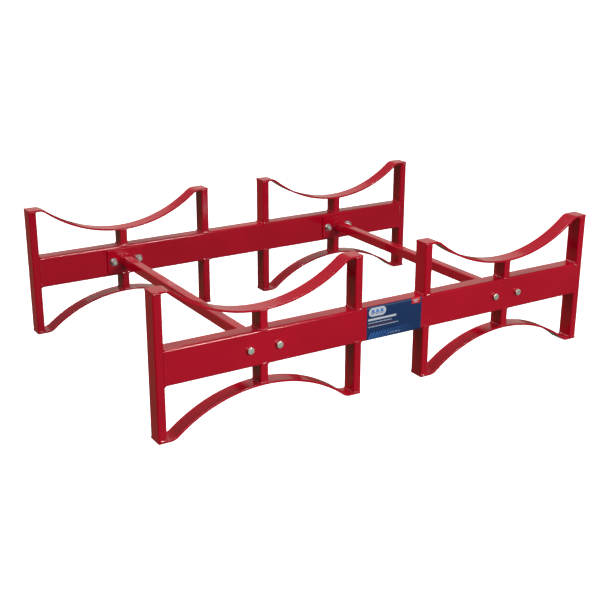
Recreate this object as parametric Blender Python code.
"""Stackable two-drum storage rack: two welded side frames joined by two bolted cross bars.

The rack stands on the XY plane. X runs along the side frames, Y from the front frame to the
rear one, Z is up. Each side frame is its own mirror image above and below its rail, so racks
stack: the lower arches of one stand on the saddles of the next.
"""

import math

import bmesh
import bpy

# Overall sizes, in metres.
LENGTH = 1.200
DEPTH = 0.795
HEIGHT = 0.335
FIT_GAP = 0.0003

# Posts and stubs: rectangular steel tube, deeper than wide.
POST_WIDTH = 0.020
POST_DEPTH = 0.040
POST_WALL = 0.002
POST_CORNER = 0.003

# Rails: tall rectangular steel tube, as deep as the posts.
RAIL_HEIGHT = 0.0815
RAIL_WALL = 0.003
RAIL_CORNER = 0.005
RAIL_MIDDLE = HEIGHT / 2

# Saddles and arches: bent flat bar.
BAR_THICKNESS = 0.005
BAR_EDGE = 0.0006
SEAT_SPAN = 0.512
SEAT_RADIUS = 0.338
KNEE_RADIUS = 0.032
LAND_LENGTH = 0.0278
SEAT_CENTRE = LENGTH / 2 - SEAT_SPAN / 2
ARC_STEPS = 26
KNEE_STEPS = 6

# Cross bars and their end plates.
CROSS_BAR_SIZE = 0.025
CROSS_BAR_WALL = 0.002
CROSS_BAR_CORNER = 0.003
PLATE_WIDTH = 0.104
PLATE_HEIGHT = 0.065
PLATE_THICKNESS = 0.005
PLATE_CORNER = 0.0015

# M10 hexagon bolts and flange nuts.
BOLT_SPREAD = 0.0718
BOLT_HOLE_RADIUS = 0.0055
BOLT_RADIUS = 0.005
BOLT_HEAD_ACROSS = 0.015
BOLT_HEAD_HEIGHT = 0.0064
BOLT_FACE_RADIUS = 0.0071
BOLT_TIP = 0.001
BOLT_PROUD = 0.003
NUT_ACROSS = 0.015
NUT_HEIGHT = 0.010
NUT_FLANGE_RADIUS = 0.0108
NUT_FLANGE_EDGE = 0.0014
NUT_FLANGE_TOP = 0.0032
NUT_BORE_RADIUS = 0.0053
NUT_FACE_RADIUS = 0.0071
CHAMFER_SLOPE = math.tan(math.radians(30))
ROUND_STEPS = 24

# Label on the front rail, between the inner posts. Both its long edges lap round the corners.
LABEL_LEFT = -0.0753
LABEL_RIGHT = 0.0805
LABEL_THICKNESS = 0.0003
LABEL_GAP = 0.00015
LABEL_WRAP = math.radians(62)
LABEL_STEPS = 5

CORNER_STEPS = 4
LEAST_CORNER = 0.0008
SHARP_EDGE = math.radians(32)
FRONT_FRAME = -DEPTH / 2 + POST_DEPTH / 2
REAR_FRAME = DEPTH / 2 - POST_DEPTH / 2


def material(name, colour, roughness, metallic):
    """A Principled BSDF with one plain colour."""
    made = bpy.data.materials.new(name)
    made.use_nodes = True
    shader = made.node_tree.nodes["Principled BSDF"]
    shader.inputs["Base Color"].default_value = (*colour, 1.0)
    shader.inputs["Roughness"].default_value = roughness
    shader.inputs["Metallic"].default_value = metallic
    return made


def add_object(name, shape, look):
    """Makes a named object from a finished bmesh, with outward faces and smooth round walls."""
    bmesh.ops.recalc_face_normals(shape, faces=shape.faces)
    mesh = bpy.data.meshes.new(name)
    shape.to_mesh(mesh)
    shape.free()
    mesh.shade_smooth()
    mesh.set_sharp_from_angle(angle=SHARP_EDGE)
    mesh.materials.append(look)
    made = bpy.data.objects.new(name, mesh)
    bpy.context.scene.collection.objects.link(made)
    return made


def rounded_rectangle(width, height, radius, steps=CORNER_STEPS):
    """Outline points of a rectangle with round corners, anticlockwise from its right side."""
    points = []
    corners = ((1, 1, 0), (-1, 1, 90), (-1, -1, 180), (1, -1, 270))
    for side_u, side_v, start in corners:
        centre_u = side_u * (width / 2 - radius)
        centre_v = side_v * (height / 2 - radius)
        for step in range(steps + 1):
            angle = math.radians(start + 90 * step / steps)
            point = (centre_u + radius * math.cos(angle), centre_v + radius * math.sin(angle))
            points.append(point)
    return points


def bridge_rings(shape, rings, closed_round):
    """Quads between neighbouring rings of equal length; closed_round joins last to first."""
    count = len(rings[0])
    pairs = list(zip(rings, rings[1:]))
    if closed_round:
        pairs.append((rings[-1], rings[0]))
    for lower, upper in pairs:
        for index in range(count):
            after = (index + 1) % count
            shape.faces.new((lower[index], lower[after], upper[after], upper[index]))


def tube(name, section, wall, corner, place, look, end_low, end_high):
    """A hollow tube open at both ends.

    section is (width, height) of the outline. place(u, v, along) gives a corner's position, and
    end_low and end_high give how far along each point of the outline the tube ends.
    """
    width, height = section
    outer = rounded_rectangle(width, height, corner)
    inner_corner = max(corner - wall, LEAST_CORNER)
    inner = rounded_rectangle(width - 2 * wall, height - 2 * wall, inner_corner)
    shape = bmesh.new()
    rings = []
    for outline, ends in ((outer, (end_low, end_high)), (inner, (end_high, end_low))):
        for end in ends:
            rings.append([shape.verts.new(place(u, v, end(u, v))) for u, v in outline])
    bridge_rings(shape, rings, closed_round=True)
    return add_object(name, shape, look)


def level(value):
    """An end that is square to the tube."""
    return lambda u, v: value


def upright(centre_x, centre_y):
    """Places a vertical tube: its outline lies across X and Y."""
    return lambda u, v, along: (centre_x + u, centre_y + v, along)


def seat_profile(surface_offset):
    """Height of the seat circle's surface under the saddle's middle, as a function of x."""
    rise = math.sqrt((SEAT_RADIUS + KNEE_RADIUS) ** 2 - (SEAT_SPAN / 2 - LAND_LENGTH) ** 2)
    circle_height = HEIGHT - KNEE_RADIUS + rise
    radius = SEAT_RADIUS + surface_offset

    def height_at(offset_x):
        return circle_height - math.sqrt(radius**2 - offset_x**2)

    return height_at


def bar_path():
    """Top line of a bent bar and its outward normals, as (x, z, normal x, normal z), from left.

    A flat land, a knee that turns down, the long concave seat, then the same mirrored.
    """
    half = SEAT_SPAN / 2
    knee_x = half - LAND_LENGTH
    turn = math.asin(knee_x / (SEAT_RADIUS + KNEE_RADIUS))
    circle_height = HEIGHT - KNEE_RADIUS + (SEAT_RADIUS + KNEE_RADIUS) * math.cos(turn)
    left = [(-half, HEIGHT, 0.0, 1.0)]
    for step in range(KNEE_STEPS + 1):
        angle = turn * step / KNEE_STEPS
        x = -knee_x + KNEE_RADIUS * math.sin(angle)
        z = HEIGHT - KNEE_RADIUS + KNEE_RADIUS * math.cos(angle)
        left.append((x, z, math.sin(angle), math.cos(angle)))
    seat = []
    for step in range(1, ARC_STEPS):
        angle = turn * (1 - 2 * step / ARC_STEPS)
        x = -SEAT_RADIUS * math.sin(angle)
        z = circle_height - SEAT_RADIUS * math.cos(angle)
        seat.append((x, z, math.sin(angle), math.cos(angle)))
    right = [(-x, z, -normal_x, normal_z) for x, z, normal_x, normal_z in reversed(left)]
    return left + seat + right


def bent_bar(name, centre_x, centre_y, upper, look):
    """A saddle, or with upper False the arch that mirrors it below the rail."""
    half_depth = POST_DEPTH / 2
    low = -BAR_THICKNESS
    edge = BAR_EDGE
    section = (
        (-half_depth + edge, 0.0),
        (half_depth - edge, 0.0),
        (half_depth, -edge),
        (half_depth, low + edge),
        (half_depth - edge, low),
        (-half_depth + edge, low),
        (-half_depth, low + edge),
        (-half_depth, -edge),
    )
    shape = bmesh.new()
    rings = []
    for x, z, normal_x, normal_z in bar_path():
        ring = []
        for across, offset in section:
            height = z + normal_z * offset
            if not upper:
                height = HEIGHT - height
            place = (centre_x + x + normal_x * offset, centre_y + across, height)
            ring.append(shape.verts.new(place))
        rings.append(ring)
    bridge_rings(shape, rings, closed_round=False)
    shape.faces.new(rings[0])
    shape.faces.new(rings[-1])
    return add_object(name, shape, look)


def hexagon_radius(across_flats, angle):
    """Distance from the centre to a hexagon's side in this direction."""
    from_flat = (angle + math.radians(30)) % math.radians(60) - math.radians(30)
    return across_flats / 2 / math.cos(from_flat)


def turned(name, rings_spec, centre, direction, closed_round, look):
    """A piece turned about Y through centre; direction is +1 or -1 along Y.

    Each ring is (distance along the axis, radius function of the angle).
    """
    shape = bmesh.new()
    rings = []
    for along, radius_at in rings_spec:
        ring = []
        for step in range(ROUND_STEPS):
            angle = 2 * math.pi * step / ROUND_STEPS
            radius = radius_at(angle)
            x = centre[0] + radius * math.cos(angle)
            z = centre[2] + radius * math.sin(angle)
            ring.append(shape.verts.new((x, centre[1] + direction * along, z)))
        rings.append(ring)
    bridge_rings(shape, rings, closed_round)
    if not closed_round:
        shape.faces.new(rings[0])
        shape.faces.new(rings[-1])
    return add_object(name, shape, look)


def round_of(radius):
    return lambda angle: radius


def hexagon_of(across_flats):
    return lambda angle: hexagon_radius(across_flats, angle)


def hexagon_corner(across_flats):
    """Distance from a hexagon's centre to its corners."""
    return across_flats / 2 / math.cos(math.radians(30))


def hex_bolt(name, centre, direction, look):
    """Bolt whose head bears at centre and whose shank runs along direction."""
    head = BOLT_HEAD_HEIGHT
    full = BOLT_HEAD_ACROSS
    length = POST_DEPTH + PLATE_THICKNESS + NUT_HEIGHT + BOLT_PROUD
    chamfer = (full / 2 - BOLT_FACE_RADIUS) * CHAMFER_SLOPE
    corner_chamfer = (hexagon_corner(full) - BOLT_FACE_RADIUS) * CHAMFER_SLOPE
    rings = (
        (-head, round_of(BOLT_FACE_RADIUS)),
        (-head + chamfer, round_of(full / 2)),
        (-head + corner_chamfer, hexagon_of(full)),
        (0.0, hexagon_of(full)),
        (0.0, round_of(BOLT_RADIUS)),
        (length - BOLT_TIP, round_of(BOLT_RADIUS)),
        (length, round_of(BOLT_RADIUS - BOLT_TIP)),
    )
    return turned(name, rings, centre, direction, False, look)


def flange_nut(name, centre, direction, look):
    """Nut whose flange bears at centre and whose body rises along direction."""
    corner_chamfer = (hexagon_corner(NUT_ACROSS) - NUT_FACE_RADIUS) * CHAMFER_SLOPE
    rings = (
        (0.0, round_of(NUT_BORE_RADIUS)),
        (0.0, round_of(NUT_FLANGE_RADIUS)),
        (NUT_FLANGE_EDGE, round_of(NUT_FLANGE_RADIUS)),
        (NUT_FLANGE_TOP, hexagon_of(NUT_ACROSS)),
        (NUT_HEIGHT - corner_chamfer, hexagon_of(NUT_ACROSS)),
        (NUT_HEIGHT, round_of(NUT_FACE_RADIUS)),
        (NUT_HEIGHT, round_of(NUT_BORE_RADIUS)),
    )
    return turned(name, rings, centre, direction, True, look)


def drill(target, centres, low_y, high_y):
    """Cuts a round hole along Y through target at each (x, z) of centres."""
    for number, (x, z) in enumerate(centres, 1):
        shape = bmesh.new()
        rings = []
        for y in (low_y, high_y):
            ring = []
            for step in range(ROUND_STEPS):
                angle = 2 * math.pi * step / ROUND_STEPS
                offset_x = BOLT_HOLE_RADIUS * math.cos(angle)
                offset_z = BOLT_HOLE_RADIUS * math.sin(angle)
                ring.append(shape.verts.new((x + offset_x, y, z + offset_z)))
            rings.append(ring)
        bridge_rings(shape, rings, closed_round=False)
        shape.faces.new(rings[0])
        shape.faces.new(rings[-1])
        cutter = add_object(f"cutter_{target.name}_{number}", shape, target.data.materials[0])
        cutter.hide_render = True
        cutter.display_type = "WIRE"
        cut = target.modifiers.new(f"hole_{number}", "BOOLEAN")
        cut.operation = "DIFFERENCE"
        cut.solver = "EXACT"
        cut.object = cutter


def bolt_centres(seat_x):
    """(x, z) of the two bolts that hold the cross bar under one seat."""
    return [(seat_x + side * BOLT_SPREAD / 2, RAIL_MIDDLE) for side in (-1, 1)]


def side_frame(prefix, centre_y, look):
    """Rail, posts, stubs, saddles and arches of one welded frame."""
    upper_base = RAIL_MIDDLE + RAIL_HEIGHT / 2 + FIT_GAP
    lower_top = RAIL_MIDDLE - RAIL_HEIGHT / 2 - FIT_GAP
    bar_under = HEIGHT - BAR_THICKNESS - FIT_GAP
    post_section = (POST_WIDTH, POST_DEPTH)
    post_x = LENGTH / 2 - POST_WIDTH / 2
    inner_x = LENGTH / 2 - SEAT_SPAN + POST_WIDTH / 2
    rail_end = LENGTH / 2 - POST_WIDTH - FIT_GAP

    rail = tube(
        f"{prefix}_rail",
        (POST_DEPTH, RAIL_HEIGHT),
        RAIL_WALL,
        RAIL_CORNER,
        lambda u, v, along: (along, centre_y + u, RAIL_MIDDLE + v),
        look,
        level(-rail_end),
        level(rail_end),
    )
    holes = bolt_centres(-SEAT_CENTRE) + bolt_centres(SEAT_CENTRE)
    drill(rail, holes, centre_y - POST_DEPTH, centre_y + POST_DEPTH)

    seat_under = seat_profile(BAR_THICKNESS + FIT_GAP)
    for side, sign in (("left", -1), ("right", 1)):
        stands = (
            (f"{prefix}_end_post_{side}", sign * post_x, HEIGHT - bar_under, bar_under),
            (f"{prefix}_inner_stub_upper_{side}", sign * inner_x, upper_base, bar_under),
            (f"{prefix}_inner_stub_lower_{side}", sign * inner_x, HEIGHT - bar_under, lower_top),
        )
        for name, x, low, high in stands:
            place = upright(x, centre_y)
            tube(name, post_section, POST_WALL, POST_CORNER, place, look, level(low), level(high))
        seat_x = sign * SEAT_CENTRE
        tube(
            f"{prefix}_seat_stub_upper_{side}",
            post_section,
            POST_WALL,
            POST_CORNER,
            upright(seat_x, centre_y),
            look,
            level(upper_base),
            lambda u, v: seat_under(u),
        )
        tube(
            f"{prefix}_seat_stub_lower_{side}",
            post_section,
            POST_WALL,
            POST_CORNER,
            upright(seat_x, centre_y),
            look,
            lambda u, v: HEIGHT - seat_under(u),
            level(lower_top),
        )
        bent_bar(f"{prefix}_saddle_{side}", seat_x, centre_y, True, look)
        bent_bar(f"{prefix}_foot_arch_{side}", seat_x, centre_y, False, look)


def end_plate(name, centre_x, centre_y, look):
    """Flat plate across the inner side of a rail, with a hole for each of its two bolts."""
    outline = rounded_rectangle(PLATE_WIDTH, PLATE_HEIGHT, PLATE_CORNER, 2)
    shape = bmesh.new()
    rings = []
    for y in (centre_y - PLATE_THICKNESS / 2, centre_y + PLATE_THICKNESS / 2):
        rings.append([shape.verts.new((centre_x + u, y, RAIL_MIDDLE + v)) for u, v in outline])
    bridge_rings(shape, rings, closed_round=False)
    shape.faces.new(rings[0])
    shape.faces.new(rings[-1])
    plate = add_object(name, shape, look)
    drill(plate, bolt_centres(centre_x), centre_y - PLATE_THICKNESS, centre_y + PLATE_THICKNESS)
    return plate


def cross_bar(side, sign, steel, zinc):
    """Cross bar under one pair of seats, with its plates, bolts and nuts."""
    seat_x = sign * SEAT_CENTRE
    inner_face = DEPTH / 2 - POST_DEPTH
    plate_y = inner_face - FIT_GAP - PLATE_THICKNESS / 2
    plate_back = plate_y - PLATE_THICKNESS / 2
    bar_end = plate_back - FIT_GAP
    tube(
        f"cross_bar_{side}",
        (CROSS_BAR_SIZE, CROSS_BAR_SIZE),
        CROSS_BAR_WALL,
        CROSS_BAR_CORNER,
        lambda u, v, along: (seat_x + u, along, RAIL_MIDDLE + v),
        steel,
        level(-bar_end),
        level(bar_end),
    )
    for prefix, inward in (("front", 1), ("rear", -1)):
        end_plate(f"{prefix}_end_plate_{side}", seat_x, -inward * plate_y, steel)
        for number, (x, z) in enumerate(bolt_centres(seat_x), 1):
            head_face = -inward * (DEPTH / 2 + FIT_GAP)
            nut_face = -inward * (plate_back - FIT_GAP)
            hex_bolt(f"{prefix}_bolt_{side}_{number}", (x, head_face, z), inward, zinc)
            flange_nut(f"{prefix}_nut_{side}_{number}", (x, nut_face, z), inward, zinc)


def rail_label(look):
    """Thin label on the front rail's outer face, lapped round both of its outer corners."""
    face_y = -DEPTH / 2
    corner_y = face_y + RAIL_CORNER
    half_flat = RAIL_HEIGHT / 2 - RAIL_CORNER
    shape = bmesh.new()
    rings = []
    for x in (LABEL_LEFT, LABEL_RIGHT):
        outline = []
        for offset in (LABEL_GAP, LABEL_GAP + LABEL_THICKNESS):
            reach = RAIL_CORNER + offset
            line = []
            for up in (1, -1):
                for step in range(LABEL_STEPS + 1):
                    share = step / LABEL_STEPS
                    angle = LABEL_WRAP * ((1 - share) if up == 1 else share)
                    z = RAIL_MIDDLE + up * (half_flat + reach * math.sin(angle))
                    line.append((corner_y - reach * math.cos(angle), z))
            outline += line if offset == LABEL_GAP else reversed(line)
        rings.append([shape.verts.new((x, y, z)) for y, z in outline])
    bridge_rings(shape, rings, closed_round=False)
    shape.faces.new(rings[0])
    shape.faces.new(rings[-1])
    return add_object("rail_label", shape, look)


def main():
    for old in list(bpy.data.objects):
        bpy.data.objects.remove(old, do_unlink=True)
    red = (0.42, 0.012, 0.020)
    grey = (0.62, 0.62, 0.60)
    navy = (0.014, 0.045, 0.120)
    steel = material("red_enamel", red, 0.28, 0.0)
    zinc = material("zinc_plating", grey, 0.35, 1.0)
    vinyl = material("label_vinyl", navy, 0.30, 0.0)
    side_frame("front", FRONT_FRAME, steel)
    side_frame("rear", REAR_FRAME, steel)
    cross_bar("left", -1, steel, zinc)
    cross_bar("right", 1, steel, zinc)
    rail_label(vinyl)


main()
